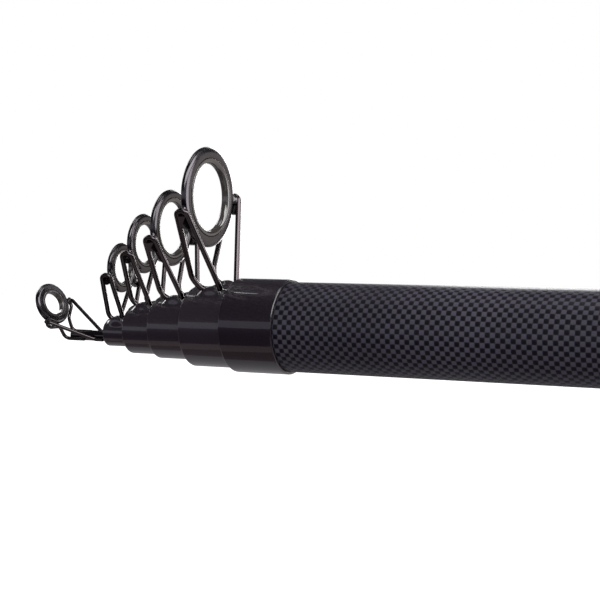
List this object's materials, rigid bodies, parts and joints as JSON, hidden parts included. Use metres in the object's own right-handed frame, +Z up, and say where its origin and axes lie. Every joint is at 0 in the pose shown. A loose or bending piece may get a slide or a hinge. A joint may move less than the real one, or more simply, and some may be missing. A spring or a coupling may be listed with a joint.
{
  "type": "telescopic fishing rod",
  "caption": "Closed telescopic fishing rod: nested tapered carbon tubes with lacquered mouths, bent-wire ring guides, a tip-top, a reel seat with lock nut, a foam grip and a screw butt cap.",
  "frame": {"origin": "middle of the butt end's flat face, on the axis of the butt tube", "axes": "+X along the rod from the butt end to the tip, +Z up, to the side of the guides and the reel"},
  "size_m": [0.6007, 0.0354, 0.0605],
  "materials": {
    "carbon": "woven carbon fibre in clear epoxy",
    "lacquer": "black thread binding under clear gloss lacquer",
    "wire": "stainless wire, black plated, polished",
    "ring_frame": "stamped steel ring, satin gunmetal plating",
    "ring_insert": "polished grey ceramic",
    "foam": "closed-cell foam",
    "seat": "moulded nylon, fine grain",
    "hood": "satin gunmetal anodising",
    "cap_metal": "turned, satin gunmetal anodising",
    "rubber": "moulded matt rubber"
  },
  "bodies": {
    "butt": {"butt_blank": "carbon", "butt_wrap": "lacquer", "butt_ferrule": "cap_metal", "rear_grip": "foam", "seat_body": "seat", "fixed_hood": "hood", "winding_check": "seat"},
    "section_2": {"blank_2": "carbon", "wrap_2": "lacquer", "guide_wires_2": "wire", "guide_ring_2": "ring_frame", "guide_insert_2": "ring_insert"},
    "section_3": {"blank_3": "carbon", "wrap_3": "lacquer", "guide_wires_3": "wire", "guide_ring_3": "ring_frame", "guide_insert_3": "ring_insert"},
    "section_4": {"blank_4": "carbon", "wrap_4": "lacquer", "guide_wires_4": "wire", "guide_ring_4": "ring_frame", "guide_insert_4": "ring_insert"},
    "section_5": {"blank_5": "carbon", "wrap_5": "lacquer", "guide_wires_5": "wire", "guide_ring_5": "ring_frame", "guide_insert_5": "ring_insert"},
    "tip": {"tip_blank": "carbon", "tip_tube": "wire", "tip_wires": "wire", "tip_ring": "ring_frame", "tip_insert": "ring_insert"},
    "hood": {"moving_hood": "hood"},
    "nut": {"lock_nut": "hood"},
    "seal": {"cap_seal": "rubber"},
    "cap": {"butt_cap": "cap_metal", "cap_bumper": "rubber", "cap_cushion": "foam"}
  },
  "joints": [
    {"name": "section_2_slide", "type": "slide", "parent": "butt", "child": "section_2", "axis": [1, 0, 0.0013], "range_m": [0, 0.4527]},
    {"name": "section_3_slide", "type": "slide", "parent": "section_2", "child": "section_3", "axis": [1, 0, 0.0013], "range_m": [0, 0.4698]},
    {"name": "section_4_slide", "type": "slide", "parent": "section_3", "child": "section_4", "axis": [1, 0, 0.0016], "range_m": [0, 0.4901]},
    {"name": "section_5_slide", "type": "slide", "parent": "section_4", "child": "section_5", "axis": [1, 0, 0.0021], "range_m": [0, 0.5085]},
    {"name": "tip_slide", "type": "slide", "parent": "section_5", "child": "tip", "axis": [1, 0, 0.0021], "range_m": [0, 0.526]},
    {"name": "hood_slide", "type": "slide", "parent": "butt", "child": "hood", "axis": [1, 0, 0], "range_m": [-0.004, 0.008]},
    {"name": "nut_spin", "type": "hinge", "parent": "hood", "child": "nut", "pos_m": [0.3099, 0, 0], "axis": [1, 0, 0], "range_deg": [-720, 1440]},
    {"name": "seal_slide", "type": "slide", "parent": "butt", "child": "seal", "axis": [-1, 0, 0], "range_m": [0, 0.00975]},
    {"name": "cap_spin", "type": "hinge", "parent": "seal", "child": "cap", "pos_m": [0.014, 0, 0], "axis": [-1, 0, 0], "range_deg": [0, 2340]}
  ],
  "couplings": [
    {"joint": "hood_slide", "follows": "nut_spin", "m_per_rad": 0.0003183},
    {"joint": "seal_slide", "follows": "cap_spin", "m_per_rad": 0.00023873}
  ]
}
